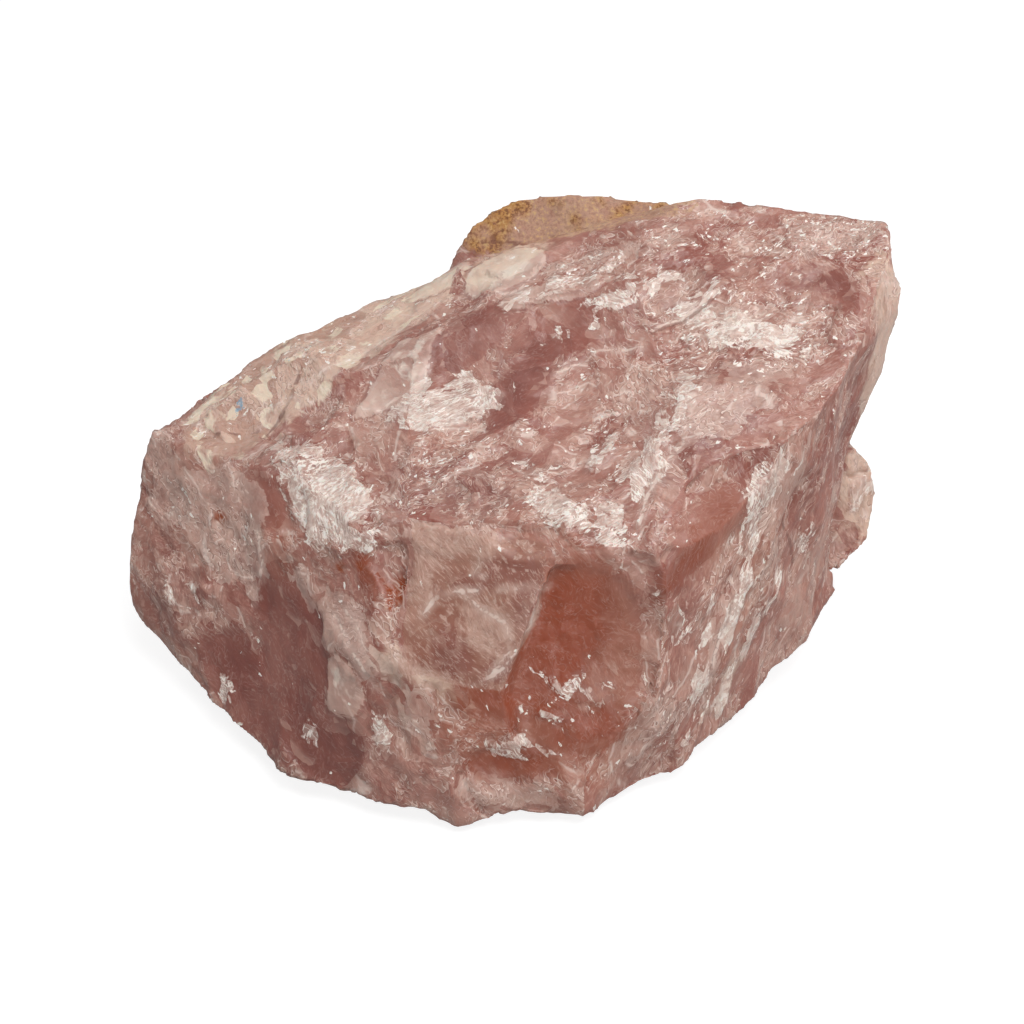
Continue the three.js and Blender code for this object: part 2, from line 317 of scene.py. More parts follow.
def inside_patches(points, patches):
    """How far inside the nearest patch each point is, in millimetres, and less than 0 outside."""
    best = np.full(len(points), -50.0)
    for middle, direction, half_length, half_width, *borders in patches:
        away = points - np.array(middle, dtype=float)
        along = away @ unit(direction)
        across = np.sqrt(np.maximum((away * away).sum(1) - along * along, 0))
        reach = np.sqrt((along / half_length) ** 2 + (across / half_width) ** 2)
        inside = (1 - reach) * half_width
        for on_plane, way_in in itertools.chain(*borders):
            inside = np.minimum(inside, (points - np.array(on_plane, dtype=float)) @ unit(way_in))
        best = np.maximum(best, inside)
    return best


def reach_of_lines(points, facing, lines):
    """How far along the surface each point is from the nearest line, in millimetres."""
    nearest = np.full(len(points), 50.0)
    for line in lines:
        for start, end in itertools.pairwise(np.array(line, dtype=float)):
            run = end - start
            part = np.clip(((points - start) @ run) / (run @ run), 0, 1)
            away = points - start - part[:, None] * run
            outwards = (away * facing).sum(1)
            beside = np.sqrt(np.maximum((away * away).sum(1) - outwards * outwards, 0))
            beside += np.maximum(np.abs(outwards) - 3, 0)
            nearest = np.minimum(nearest, beside)
    return nearest


def soft_noise(points, size, octaves, seed):
    """Noise of about -1 to 1 whose largest lumps are that many millimetres across."""
    shift = Vector((seed * 17.3, seed * -9.1, seed * 5.7))
    return np.array([
        noise.fractal(Vector(p) / size + shift, 0.9, 2.1, octaves, noise_basis="PERLIN_ORIGINAL")
        for p in points.tolist()
    ])


def even_noise(points, size, octaves, seed):
    """Soft noise spread evenly about 0.5, mostly from 0.3 to 0.7, as a shader's noise is."""
    values = soft_noise(points, size, octaves, seed)
    return 0.5 + 0.085 * (values - values.mean()) / values.std()


def push_of(points, size, amount, seed):
    shift = Vector((seed * 3.1, seed * 11.7, seed * -6.3))
    return amount * np.array([noise.noise_vector(Vector(p) / size + shift) for p in points.tolist()])


def warped(points, size, amount, seed):
    """The points pushed about by soft noise, so that straight edges turn ragged."""
    return points + push_of(points, size, amount, seed)


def grain_frame(direction):
    """Three axes as columns: the first along the grain, the others across it."""
    along = unit(direction)
    across = np.cross((0.0, 0.0, 1.0), along)
    across /= np.linalg.norm(across)
    return np.column_stack([along, across, np.cross(along, across)])


def in_grain(points, direction, stretch):
    """The points in the grain's own axes, drawn together along it, so that patterns stretch."""
    turned = points @ grain_frame(direction)
    turned[:, 0] /= stretch
    return turned


def cell_numbers(cells, seed):
    """Three repeatable numbers from 0 to 1 for each whole-numbered cell."""
    whole = cells.astype(np.int64)
    mixed = whole[:, 0] * 374761393 + whole[:, 1] * 668265263 + whole[:, 2] * 974634777 + seed * 91138233
    rows = []
    for factor in (1274126177, 2246822519, 3266489917):
        value = (mixed ^ (mixed >> 13)) * factor
        value = (value ^ (value >> 16)) & 0xFFFFFF
        rows.append(value / 0xFFFFFF)
    return np.column_stack(rows)


def scoops(points, size, lean, seed):
    """Height of shallow scoops that meet in crisp ridges, where 1 is as high as the scoop is wide."""
    grid = points / size
    base = np.floor(grid)
    height = np.full(len(points), 9.0)
    for step in itertools.product((-1, 0, 1), repeat=3):
        cell = base + step
        own = cell_numbers(cell, seed)
        offset = grid - cell - own
        tilt = (own[:, [1, 2, 0]] - 0.5) * lean
        scoop = 0.8 * (offset * offset).sum(1) + (offset * tilt).sum(1) + 0.35 * own[:, 2]
        height = np.minimum(height, scoop)
    return height - 0.35


def terraces(values, steps, sharpness):
    """Smooth values turned into flat treads with short steep risers."""
    scaled = values * steps
    tread = np.floor(scaled)
    return (tread + smooth_step(0, sharpness, scaled - tread)) / steps


# ---- the stone --------------------------------------------------------------------------------------

SKIN_MESH = 0.77 * MM
SKIN_SMOOTHING = 4
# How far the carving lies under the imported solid, in millimetres, where nothing stands out of it.
CARVED_AWAY = 0.4


def skin_of(node):
    """A fine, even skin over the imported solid, as a new mesh."""
    mesh = node.data.copy()
    shell = bmesh.new()
    shell.from_mesh(mesh)
    bmesh.ops.remove_doubles(shell, verts=shell.verts, dist=0.001 * MM)
    shell.to_mesh(mesh)
    shell.free()
    rough = bpy.data.objects.new("skin", mesh)
    bpy.context.scene.collection.objects.link(rough)
    remesh = rough.modifiers.new("even skin", "REMESH")
    remesh.mode = "VOXEL"
    remesh.voxel_size = SKIN_MESH
    cling = rough.modifiers.new("cling to the solid", "SHRINKWRAP")
    cling.target = node
    cling.wrap_method = "NEAREST_SURFACEPOINT"
    smooth = rough.modifiers.new("soften facets", "SMOOTH")
    smooth.factor = 0.5
    smooth.iterations = SKIN_SMOOTHING
    ready = rough.evaluated_get(bpy.context.evaluated_depsgraph_get())
    skin = bpy.data.meshes.new_from_object(ready)
    bpy.data.objects.remove(rough)
    return skin


def keep(mesh, name, values):
    layer = mesh.attributes.new(name, "FLOAT", "POINT")
    layer.data.foreach_set("value", values.astype(np.float32))


def carve(mesh):
    """Breaks up the skin and leaves on it the fields that its colours follow."""
    count = len(mesh.vertices)
    places = np.empty(count * 3)
    facing = np.empty(count * 3)
    mesh.vertices.foreach_get("co", places)
    mesh.vertex_normals.foreach_get("vector", facing)
    places = places.reshape(-1, 3) / MM
    facing = facing.reshape(-1, 3)

    # which way the grain runs here
    left = smooth_step(-0.15, 0.15, facing @ unit((-0.62, -0.66, 0.1)) - 0.45)
    upright = smooth_step(-0.12, 0.12, 0.6 - facing[:, 2]) * (1 - left)
    ragged = warped(places, 7, 1.2, 1)
    crown_points = in_grain(ragged, CROWN_GRAIN, CROWN_STRETCH)
    left_points = in_grain(ragged, LEFT_GRAIN, LEFT_STRETCH)
    upright_points = in_grain(ragged, UPRIGHT_GRAIN, UPRIGHT_STRETCH)
    grain = crown_points.copy()
    grain[left > 0.5] = left_points[left > 0.5] + 200
    grain[upright > 0.5] = upright_points[upright > 0.5] - 200

    # how far inside each kind of patch a point is
    frayed = warped(warped(places, 5, 1.6, 2), 1.8, 0.5, 3)
    white = inside_patches(frayed, WHITE_FLAKES)
    pale = inside_patches(frayed, PALE_FLAKES)
    clear = inside_patches(frayed, CLEAR_FACES)
    deep = inside_patches(frayed, DEEP_PINK)
    broken = inside_patches(frayed, BROKEN)
    gently = warped(places, 5, 0.5, 4)
    block = inside_patches(gently, VEILED_BLOCK)
    plates = inside_patches(warped(gently, 2, 0.3, 5), PLATES)

    # carving, in millimetres along the surface's facing
    calm = 1 - 0.7 * smooth_step(-1, 2, np.maximum(clear, np.maximum(deep, block)))
    crushed = smooth_step(-3, 2, broken)
    big = 1.6 * scoops(warped(places, 12, 2, 6), 14, 0.9, 21)
    ledges = 1.2 * terraces(soft_noise(grain, 15, 2, 6), 4, 0.08)
    middling = (1.0 + 0.4 * crushed) * scoops(grain, 5.5, 0.9, 22)
    little = (0.3 + 0.3 * crushed) * scoops(warped(grain, 2, 0.3, 8), 2.4, 0.9, 23)
    step = 0.4 * smooth_step(-0.3, 0.3, np.maximum(white, plates)) + 0.3 * smooth_step(-0.3, 0.3, pale)
    height = big * calm + ledges * calm + (middling + little) * calm + step
    height -= CARVED_AWAY

    # the cleft underneath stays where it rests
    resting = smooth_step(0.4, 3.0, places[:, 2])
    moved = places + facing * (height * resting)[:, None]
    moved[:, 2] = np.maximum(moved[:, 2], 0)
    lowest = places[:, 2] < 0.4
    moved[lowest, 2] = 0
    mesh.vertices.foreach_set("co", (moved * MM).ravel())

    for name, values in (("white", white), ("pale", pale), ("clear", clear), ("deep", deep),
                         ("broken", broken), ("block", block), ("plate", plates)):
        keep(mesh, name, values)
    for name, patches in (("core", ROSE_CORES), ("cloud", PALE_CLOUDS), ("orange", ORANGE_STAIN),
                          ("blue", BLUE_FLECK), ("ember", EMBERS)):
        keep(mesh, name, inside_patches(gently, patches))
    for name, lines in (("bright", BRIGHT_LINES), ("painted_shade", PAINTED_SHADE_LINES)):
        keep(mesh, name, reach_of_lines(gently, facing, lines))
    for name, patches in (("warm", WARM), ("mauve", MAUVE), ("cream", CREAM), ("rust", RUST),
                          ("shoulder", SHOULDER)):
        keep(mesh, name, inside_patches(frayed, patches))
    keep(mesh, "weathered", inside_patches(frayed, WEATHERED))
    keep(mesh, "relief", ledges * 0.5 + middling + little * 1.5)
    keep(mesh, "broad", even_noise(places, 22, 2, 31))
    keep(mesh, "cloudy", even_noise(grain, 9, 3, 32))
    keep(mesh, "curl", even_noise(warped(places, 6, 2.0, 33), 8, 3, 34))
    keep(mesh, "patchy", even_noise(places, 7, 3, 35))
    bend = push_of(places, 5, 1.4, 36) + push_of(places, 1.6, 0.3, 37)
    layer = mesh.attributes.new("bend", "FLOAT_VECTOR", "POINT")
    layer.data.foreach_set("vector", (bend * MM).astype(np.float32).ravel())
    keep(mesh, "left", left)
    keep(mesh, "upright", upright)
    mesh.update()


# ---- materials --------------------------------------------------------------------------------------

def paint(red, green, blue):
    """A paint-chart colour, 0 to 255, as the linear colour that a shader takes."""
    def linear(value):
        value /= 255
        return value / 12.92 if value <= 0.04045 else ((value + 0.055) / 1.055) ** 2.4
    return (linear(red), linear(green), linear(blue), 1.0)


class Nodes:
    """Short ways to add and join nodes in one tree."""

    def __init__(self, tree):
        self.tree = tree

    def add(self, kind, **settings):
        node = self.tree.nodes.new(kind)
        for name, value in settings.items():
            setattr(node, name, value)
        return node

    def feed(self, socket, value):
        if isinstance(value, bpy.types.NodeSocket):
            self.tree.links.new(value, socket)
        elif value is not None:
            socket.default_value = value

    def math(self, operation, first, second=None, third=None, clamp=False):
        node = self.add("ShaderNodeMath", operation=operation, use_clamp=clamp)
        for socket, value in zip(node.inputs, (first, second, third)):
            self.feed(socket, value)
        return node.outputs[0]

    def ramp(self, value, low, high, out_low=0.0, out_high=1.0):
        """The value, eased from out_low at low to out_high at high."""
        node = self.add("ShaderNodeMapRange", interpolation_type="SMOOTHSTEP")
        for socket, item in zip(node.inputs, (value, low, high, out_low, out_high)):
            self.feed(socket, item)
        return node.outputs[0]

    def blend(self, factor, first, second, mode="MIX"):
        node = self.add("ShaderNodeMix", data_type="RGBA", blend_type=mode)
        node.clamp_factor = True
        self.feed(node.inputs["Factor"], factor)
        self.feed(node.inputs[6], first)
        self.feed(node.inputs[7], second)
        return node.outputs[2]

    def blend_vectors(self, factor, first, second):
        node = self.add("ShaderNodeMix", data_type="VECTOR")
        self.feed(node.inputs["Factor"], factor)
        self.feed(node.inputs[4], first)
        self.feed(node.inputs[5], second)
        return node.outputs[1]

    def noise(self, where, size, detail=3.0, roughness=0.55, distortion=0.0, kind="FBM"):
        """Noise whose largest lumps are size millimetres across."""
        node = self.add("ShaderNodeTexNoise", noise_type=kind)
        self.feed(node.inputs["Vector"], where)
        self.feed(node.inputs["Scale"], 1 / (size * MM))
        self.feed(node.inputs["Detail"], detail)
        self.feed(node.inputs["Roughness"], roughness)
        self.feed(node.inputs["Distortion"], distortion)
        return node.outputs[0]

    def cells(self, where, size, feature="F1", metric="EUCLIDEAN"):
        node = self.add("ShaderNodeTexVoronoi", feature=feature, distance=metric)
        self.feed(node.inputs["Vector"], where)
        self.feed(node.inputs["Scale"], 1 / (size * MM))
        return node

    def vector(self, operation, first, second=None, third=None):
        node = self.add("ShaderNodeVectorMath", operation=operation)
        if operation == "SCALE":
            self.feed(node.inputs["Scale"], second)
            second = None
        for socket, value in zip(node.inputs, (first, second, third)):
            self.feed(socket, value)
        return node.outputs[0]

    def field(self, name):
        return self.add("ShaderNodeAttribute", attribute_name=name).outputs["Fac"]


def grain_mapping(nodes, where, direction, stretch):
    """The place in the grain's own axes, drawn together along it."""
    node = nodes.add("ShaderNodeMapping", vector_type="TEXTURE")
    axes = Matrix(grain_frame(direction).tolist())
    node.inputs["Rotation"].default_value = axes.to_euler()
    node.inputs["Scale"].default_value = (stretch, 1, 1)
    nodes.feed(node.inputs["Vector"], where)
    return node.outputs[0]


def overlapping_flakes():
    """A node group: flakes that are solid at one border and thin out towards the other."""
    group = bpy.data.node_groups.new("overlapping_flakes", "ShaderNodeTree")
    group.interface.new_socket("Place", in_out="INPUT", socket_type="NodeSocketVector")
    for name in ("Scale", "Share", "Softness"):
        group.interface.new_socket(name, in_out="INPUT", socket_type="NodeSocketFloat")
    for name in ("Flake", "Chance"):
        group.interface.new_socket(name, in_out="OUTPUT", socket_type="NodeSocketFloat")
    group.interface.new_socket("Lean", in_out="OUTPUT", socket_type="NodeSocketVector")
    n = Nodes(group)
    given = n.add("NodeGroupInput").outputs
    cell = n.add("ShaderNodeTexVoronoi")
    n.feed(cell.inputs["Vector"], given["Place"])
    n.feed(cell.inputs["Scale"], given["Scale"])
    chance = n.add("ShaderNodeSeparateColor")
    n.feed(chance.inputs[0], cell.outputs["Color"])
    lean = n.vector("SUBTRACT", cell.outputs["Color"], (0.5, 0.5, 0.5))
    offset = n.vector("SUBTRACT", given["Place"], cell.outputs["Position"])
    across = n.add("ShaderNodeVectorMath", operation="DOT_PRODUCT")
    n.feed(across.inputs[0], offset)
    n.feed(across.inputs[1], lean)
    across = n.math("MULTIPLY", across.outputs["Value"], given["Scale"])
    solid = n.ramp(across, n.math("MULTIPLY", given["Softness"], -1.0), given["Softness"])
    chosen = n.math("LESS_THAN", chance.outputs["Blue"], given["Share"])
    out = n.add("NodeGroupOutput")
    n.feed(out.inputs["Flake"], n.math("MULTIPLY", solid, chosen))
    n.feed(out.inputs["Chance"], chance.outputs["Green"])
    n.feed(out.inputs["Lean"], lean)
    return group


class QuartzNodes(Nodes):
    """Nodes that know the stone's grain, its flakes and the fields on its skin."""

    def __init__(self, tree):
        super().__init__(tree)
        self.flake_group = overlapping_flakes()
        self.place = self.add("ShaderNodeTexCoord").outputs["Object"]
        self.left = self.math("GREATER_THAN", self.field("left"), 0.5)
        self.upright = self.math("GREATER_THAN", self.field("upright"), 0.5)
        bend = self.add("ShaderNodeAttribute", attribute_name="bend").outputs["Vector"]
        bent = self.vector("ADD", self.place, bend)
        self.grain = self.by_side(*(
            grain_mapping(self, bent, direction, stretch) for direction, stretch in
            ((CROWN_GRAIN, CROWN_STRETCH), (LEFT_GRAIN, LEFT_STRETCH), (UPRIGHT_GRAIN, UPRIGHT_STRETCH))))
        self.run = self.by_side(*(tuple(unit(way)) for way in (CROWN_GRAIN, LEFT_GRAIN, UPRIGHT_GRAIN)))
        # noises that several layers share, from the broadest to the finest
        self.broad = self.field("broad")
        self.cloudy = self.field("cloudy")
        self.blotchy = self.noise(self.grain, 4.5, 3, 0.7)
        self.mottled = self.noise(self.grain, 2.6, 2, 0.62)

    def by_side(self, crown, left, upright):
        """One vector for the crown, one for the left front and one for the other upright sides."""
        return self.blend_vectors(self.upright, self.blend_vectors(self.left, crown, left), upright)

    def flakes(self, size, share, softness):
        node = self.add("ShaderNodeGroup", node_tree=self.flake_group)
        for name, value in (("Place", self.grain), ("Scale", 1 / (size * MM)), ("Share", share),
                            ("Softness", softness)):
            self.feed(node.inputs[name], value)
        return node.outputs

    def line(self, value, middle, width):
        """1 where the value is near the middle, down to 0 at that width from it."""
        return self.ramp(self.math("ABSOLUTE", self.math("SUBTRACT", value, middle)), width, 0.0)

    def product(self, *values):
        total = values[0]
        for value in values[1:]:
            total = self.math("MULTIPLY", total, value)
        return total

    def dot(self, first, second):
        node = self.add("ShaderNodeVectorMath", operation="DOT_PRODUCT")
        self.feed(node.inputs[0], first)
        self.feed(node.inputs[1], second)
        return node.outputs["Value"]

    def patch(self, name, low, high, ragged=1.0):
        """A patch whose border steps from flake to flake."""
        return self.ramp(self.math("MULTIPLY_ADD", self.fray, ragged, self.field(name)), low, high)


def lay_flakes(n):
    """Flakes of four sizes: fewer on the clean faces, and more where the stone is crushed."""
    scattered = n.math("MULTIPLY_ADD", n.math("SUBTRACT", n.mottled, 0.5), 14.0, n.field("broken"))
    n.broken = n.ramp(scattered, -2.5, 3.0)
    glassy = n.math("MAXIMUM", n.field("clear"), n.math("MAXIMUM", n.field("block"), n.field("deep")))
    n.bare = n.ramp(glassy, -1.5, 1.0)
    share = n.math("MULTIPLY_ADD", n.bare, -0.34, n.ramp(n.broad, 0.35, 0.65, 0.36, 0.54))
    share = n.math("MULTIPLY_ADD", n.upright, -0.1, share)
    crushed = n.math("MULTIPLY_ADD", n.broken, 0.35, n.math("MULTIPLY", share, 0.6))
    n.largest = n.flakes(10.0, share, 0.4)
    n.large = n.flakes(5.0, share, 0.3)
    n.medium = n.flakes(2.4, crushed, 0.24)
    n.small = n.flakes(1.1, crushed, 0.16)
    n.spark = n.flakes(0.5, 1.0, 0.2)
    fray = n.math("MULTIPLY_ADD", n.math("SUBTRACT", n.large["Chance"], 0.5), 2.4,
                  n.math("MULTIPLY", n.math("SUBTRACT", n.medium["Chance"], 0.5), 2.2))
    fray = n.math("MULTIPLY_ADD", n.math("SUBTRACT", n.small["Chance"], 0.5), 1.0, fray)
    n.fray = n.math("MULTIPLY_ADD", n.math("SUBTRACT", n.blotchy, 0.5), 4.0, fray)


def comb_fibres(n):
    """Fine fibres, which run their own way in each flake but keep near the grain."""
    along = n.math("MULTIPLY", n.dot(n.large["Lean"], n.run), 0.8)
    n.across = n.vector("NORMALIZE", n.vector("SUBTRACT", n.large["Lean"], n.vector("SCALE", n.run, along)))
    spread = n.math("MULTIPLY", n.dot(n.place, n.across), 4.0)
    combed = n.vector("ADD", n.place, n.vector("SCALE", n.across, spread))
    n.fibres = n.noise(combed, 1.7, 2, 0.66)
    # thin sheets: 0 at the edge of each, which gets a painted highlight, rising to 1 at the foot of the next, which
    # gets painted shade
    tangle = n.noise(n.grain, 2.6, 2, 0.66)
    n.sheet = n.math("FRACT", n.math("MULTIPLY", tangle, 8.0))


def body_colour(n):
    """The rose of the thick quartz, with its mauve, peach and cream places; painted shade darkens the low places of
    the carving and part of the mauve.
    """
    colour = n.blend(n.ramp(n.cloudy, 0.38, 0.62), paint(150, 88, 76), paint(172, 118, 105))
    colour = n.blend(n.ramp(n.broad, 0.42, 0.62, 0, 0.3), colour, paint(180, 132, 116))
    # painted shade: darker rose in the low places of the carving
    colour = n.blend(n.ramp(n.field("relief"), 0.0, -0.6, 0, 0.25), colour, paint(134, 72, 60))
    # the mauve is partly painted shade
    mauve = n.product(n.patch("mauve", -4.0, 6.0), n.ramp(n.cloudy, 0.3, 0.7, 0.95, 0.5))
    colour = n.blend(mauve, colour, paint(128, 74, 66))
    colour = n.blend(n.math("MULTIPLY", n.patch("warm", -4.0, 8.0), 0.7), colour, paint(168, 104, 80))
    cream = n.math("MULTIPLY", n.patch("cream", -0.8, 1.4, 0.8), n.ramp(n.mottled, 0.3, 0.6, 0.65, 1.0))
    return n.blend(cream, colour, paint(220, 190, 170))


def milky_layers(n, colour):
    """Flakes on flakes, each paler than the last, over thin sheets and blotches."""
    pale = paint(218, 181, 165)
    blotches = n.ramp(n.math("MULTIPLY_ADD", n.broken, 0.05, n.blotchy), 0.53, 0.6, 0, 0.5)
    colour = n.blend(n.math("MULTIPLY", blotches, n.math("SUBTRACT", 1.0, n.bare)), colour, paint(206, 170, 154))
    n.thin = n.patch("pale", -0.15, 0.2)
    colour = n.blend(n.math("MULTIPLY", n.thin, n.ramp(n.mottled, 0.3, 0.65, 0.3, 0.6)), colour,
                     paint(204, 176, 164))
    for layer, thickness in ((n.largest, 0.26), (n.large, 0.3), (n.medium, 0.34), (n.small, 0.3)):
        colour = n.blend(n.math("MULTIPLY", layer["Flake"], thickness), colour, pale)
    return colour


def smooth_plates(n, colour):
    """Pale plates that fade at one end, with painted shade round the rim."""
    reach = n.math("MULTIPLY_ADD", n.fray, 0.32, n.field("plate"))
    shade = n.blend(n.patch("cream", -0.5, 0.8, 0.5), paint(212, 180, 166), paint(232, 210, 190))
    body = n.math("MULTIPLY", n.ramp(reach, -0.1, 0.12), n.ramp(n.cloudy, 0.3, 0.62, 0.4, 0.9))
    colour = n.blend(body, colour, shade)
    frost = n.product(n.ramp(reach, 1.2, 2.6), n.ramp(n.blotchy, 0.45, 0.6), 0.55)
    colour = n.blend(frost, colour, paint(242, 228, 214))
    # painted shade round the foot of each raised plate
    return n.blend(n.math("MULTIPLY", n.line(reach, -0.4, 0.35), 0.4), colour, paint(128, 74, 62))


def clear_block(n, colour):
    """The clear block, with rose depths, pale clouds and curling veils in it, and painted shade between its pale
    threads.
    """
    edge = n.math("MULTIPLY_ADD", n.fray, 0.16, n.field("block"))
    inside = n.ramp(edge, -0.15, 0.25)
    milk = n.blend(n.ramp(n.cloudy, 0.36, 0.64), paint(154, 101, 84), paint(176, 130, 112))
    core = n.ramp(n.math("MULTIPLY_ADD", n.fray, 0.5, n.field("core")), -1.4, 1.2, 0, 0.9)
    milk = n.blend(core, milk, paint(146, 92, 80))
    cloud = n.ramp(n.math("MULTIPLY_ADD", n.fray, 0.7, n.field("cloud")), -1.0, 1.2, 0, 0.75)
    milk = n.blend(cloud, milk, paint(204, 166, 150))
    # a veil is crisp on one side and fades on the other
    curl = n.math("MULTIPLY_ADD", n.math("SUBTRACT", n.blotchy, 0.5), 0.12, n.field("curl"))
    veil = n.math("MAXIMUM", n.math("MULTIPLY", n.ramp(curl, 0.5, 0.51), n.ramp(curl, 0.62, 0.5)),
                  n.math("MULTIPLY", n.ramp(curl, 0.42, 0.41), n.ramp(curl, 0.32, 0.42)))
    milk = n.blend(n.math("MULTIPLY", veil, 0.26), milk, paint(218, 185, 168))
    milk = n.blend(n.ramp(n.fibres, 0.53, 0.66, 0, 0.5), milk, paint(226, 196, 182))
    # painted shade between the pale threads
    milk = n.blend(n.ramp(n.fibres, 0.45, 0.34, 0, 0.35), milk, paint(138, 84, 70))
    wisps = n.math("MULTIPLY", n.ramp(n.sheet, 0.2, 0.0), n.ramp(n.blotchy, 0.46, 0.58, 0.0, 0.34))
    milk = n.blend(wisps, milk, paint(232, 210, 198))
    return n.blend(n.math("MULTIPLY", inside, 0.92), colour, milk)


def deep_hollows(n, colour):
    """Where the quartz is clear enough to show the deep orange pink inside it."""
    outside = n.ramp(n.field("block"), 0.2, -0.2)
    glow = n.math("MULTIPLY_ADD", n.math("SUBTRACT", n.blotchy, 0.5), 9.0, n.field("deep"))
    deep = n.product(n.ramp(glow, -2.4, 1.6), outside, n.ramp(n.cloudy, 0.3, 0.7, 0.95, 0.6))
    colour = n.blend(deep, colour, paint(146, 72, 48))
    heart = n.product(n.ramp(glow, 0.5, 4.0), outside, 0.6)
    colour = n.blend(heart, colour, paint(156, 66, 30))
    ember = n.math("MULTIPLY", n.ramp(n.math("MULTIPLY_ADD", n.fray, 0.25, n.field("ember")), -0.4, 0.5), outside)
    return n.blend(n.math("MULTIPLY", ember, n.ramp(n.mottled, 0.3, 0.6, 0.7, 1.0)), colour, paint(152, 66, 20))


def fibrous(n, colour):
    """Pale threads with painted shade between them, a tangle of thin pale cracks with painted highlights on their
    edges and painted shade at their foot, and painted highlights along the rims of flakes.
    """
    rough = n.math("MULTIPLY_ADD", n.bare, -0.15, n.math("MULTIPLY_ADD", n.broken, 0.35, 0.4))
    colour = n.blend(n.math("MULTIPLY", n.ramp(n.fibres, 0.52, 0.7, 0, 0.5), rough), colour,
                     paint(222, 188, 173))
    # painted shade between the pale threads
    colour = n.blend(n.math("MULTIPLY", n.ramp(n.fibres, 0.46, 0.32, 0, 0.45), rough), colour,
                     paint(132, 76, 66))
    dense = n.math("MULTIPLY_ADD", n.broken, 0.1, n.blotchy)
    knotted = n.math("MULTIPLY", n.ramp(dense, 0.44, 0.6, 0.12, 1.0), n.math("MULTIPLY_ADD", n.bare, -0.8, 1.0))
    # painted shade at the foot of each thin sheet
    painted_shade = n.math("MULTIPLY", n.ramp(n.sheet, 0.62, 0.98), knotted)
    colour = n.blend(n.math("MULTIPLY", painted_shade, 0.45), colour, paint(126, 70, 60))
    # each thin sheet paler towards its edge, with a painted highlight right at the edge
    bright = n.math("ADD", n.ramp(n.sheet, 0.16, 0.06, 0, 0.45), n.ramp(n.sheet, 0.5, 0.0, 0, 0.35))
    colour = n.blend(n.math("MULTIPLY", bright, knotted), colour, paint(238, 217, 206))
    # painted highlights along the rims of the flakes
    rims = n.math("MAXIMUM", n.line(n.large["Flake"], 0.7, 0.09), n.line(n.medium["Flake"], 0.7, 0.14))
    rims = n.product(rims, n.ramp(n.mottled, 0.4, 0.55), n.math("MULTIPLY_ADD", n.bare, -0.5, 0.6))
    return n.blend(rims, colour, paint(238, 217, 206))


def fine_lines(n, colour):
    """Painted shade along creases and steps, and thin pale cracks and painted highlights along crisp rims with a
    faint painted glow round them, all broken up along their run.
    """
    waver = n.math("SUBTRACT", n.math("MULTIPLY", n.mottled, 1.4), 0.7)
    gaps = n.ramp(n.cloudy, 0.36, 0.54, 0.2, 0.85)
    # painted shade along the creases and the foot of steps
    shade = n.ramp(n.math("ADD", n.field("painted_shade"), waver), 0.55, 0.1)
    colour = n.blend(n.product(shade, gaps, 0.75), colour, paint(112, 62, 48))
    # painted highlight, with a faint painted glow, along the cracks and rims
    glow = n.ramp(n.math("ADD", n.field("bright"), waver), 1.6, 0.1, 0, 0.3)
    shine = n.ramp(n.math("ADD", n.field("bright"), waver), 0.42, 0.08)
    return n.blend(n.math("MULTIPLY", n.math("MAXIMUM", shine, glow), gaps), colour, paint(236, 214, 202))


def white_flakes(n, colour):
    """Flakes so full of cracks that they are white, with painted shade between their crinkles and at each one's
    foot.
    """
    n.white = n.patch("white", -0.15, 0.2)
    film = n.math("ADD", n.math("ADD", n.large["Flake"], n.medium["Flake"]), n.small["Flake"])
    film = n.math("MULTIPLY_ADD", film, 0.16, n.ramp(n.cloudy, 0.38, 0.62, 0.3, 0.65))
    colour = n.blend(n.math("MULTIPLY", n.white, film), colour, paint(226, 204, 192))
    crinkles = n.math("MAXIMUM", n.ramp(n.fibres, 0.5, 0.6), n.ramp(n.sheet, 0.34, 0.0))
    crinkles = n.product(crinkles, n.white, n.ramp(n.mottled, 0.36, 0.56, 0.25, 0.95))
    colour = n.blend(crinkles, colour, paint(248, 238, 229))
    # painted shade between the crinkles
    shade_between_crinkles = n.product(n.ramp(n.fibres, 0.46, 0.34), n.white, 0.4)
    colour = n.blend(shade_between_crinkles, colour, paint(172, 128, 116))
    # painted shade at the foot of the white and pale flakes, just outside them
    nearest = n.math("MAXIMUM", n.field("white"), n.field("pale"))
    foot = n.ramp(n.math("ADD", nearest, n.fray), -1.6, -0.1)
    foot = n.math("MULTIPLY", foot, n.math("SUBTRACT", 1.0, n.math("MAXIMUM", n.white, n.thin)))
    return n.blend(n.math("MULTIPLY", foot, 0.3), colour, paint(128, 72, 60))


